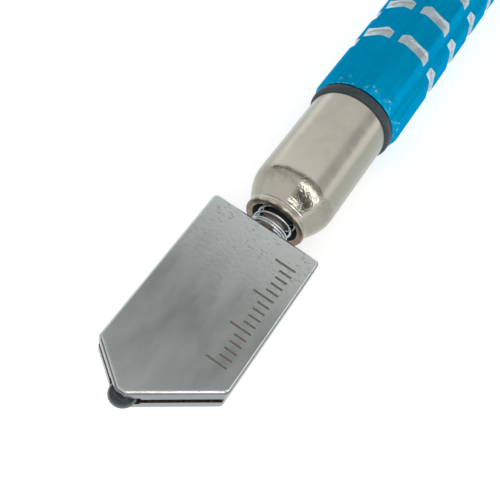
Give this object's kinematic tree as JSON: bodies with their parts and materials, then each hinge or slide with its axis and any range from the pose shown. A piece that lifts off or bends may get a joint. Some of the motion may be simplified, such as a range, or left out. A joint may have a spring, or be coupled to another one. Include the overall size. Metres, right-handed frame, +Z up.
{
  "type": "glass cutter",
  "caption": "Pencil-grip glass cutter with a sprung swivelling head, a hard-metal wheel and an oil reservoir in its lobed handle.",
  "frame": {"origin": "bottom centre of the tool's box as it lies on a table, on two ridges of its barrel", "axes": "+X along the handle from the cutting wheel to the filler cap, +Z up from the table, +Y to the side that the head's off-centre tip is on"},
  "size_m": [0.175, 0.0162, 0.0128],
  "materials": {
    "blue_anodised": "satin blue anodised, bare silver in the ring cuts",
    "nickel_plate": "warm bright nickel plate",
    "head_chrome": "satin chrome, finely scratched",
    "black_rubber": "matt black rubber",
    "spring_wire": "bright drawn wire",
    "turned_steel": "turned grey-brown steel",
    "bright_steel": "bright steel",
    "carbide": "dark ground hard metal",
    "brass": "plain turned brass",
    "cotton": "oiled cotton thread"
  },
  "bodies": {
    "handle": {"handle_barrel": "blue_anodised", "ferrule": "nickel_plate", "ferrule_gasket": "black_rubber", "spring_seat_washer": "bright_steel", "return_spring": "spring_wire"},
    "spindle": {"spindle": "turned_steel", "spindle_o_ring": "black_rubber", "valve_seal": "black_rubber", "valve_washer": "bright_steel", "valve_nut": "brass"},
    "head": {"head_body": "head_chrome", "head_screw": "bright_steel", "wheel_axle": "bright_steel", "oil_wick": "cotton"},
    "wheel": {"cutting_wheel": "carbide"},
    "cap_seal": {"cap_gasket": "black_rubber"},
    "cap": {"filler_cap": "nickel_plate"}
  },
  "joints": [
    {"name": "head_press", "type": "slide", "parent": "handle", "child": "spindle", "axis": [1, 0, 0], "range_m": [0, 0.0012], "stiffness_N_per_m": 600, "springref_m": -0.004, "deforming": ["return_spring"]},
    {"name": "head_swivel", "type": "hinge", "parent": "spindle", "child": "head", "pos_m": [-0.0644, 0, 0.00642], "axis": [1, 0, 0], "continuous": true},
    {"name": "wheel_spin", "type": "hinge", "parent": "head", "child": "wheel", "pos_m": [-0.0858, 0.0019, 0.00686], "axis": [0, -0.225, 0.9744], "continuous": true},
    {"name": "cap_lift", "type": "slide", "parent": "handle", "child": "cap_seal", "axis": [1, 0, 0], "range_m": [0, 0.0081]},
    {"name": "cap_turn", "type": "hinge", "parent": "cap_seal", "child": "cap", "pos_m": [0.0776, 0, 0.00642], "axis": [1, 0, 0], "range_deg": [0, 2880]}
  ],
  "couplings": [
    {"joint": "cap_lift", "follows": "cap_turn", "m_per_rad": 0.00015915}
  ]
}
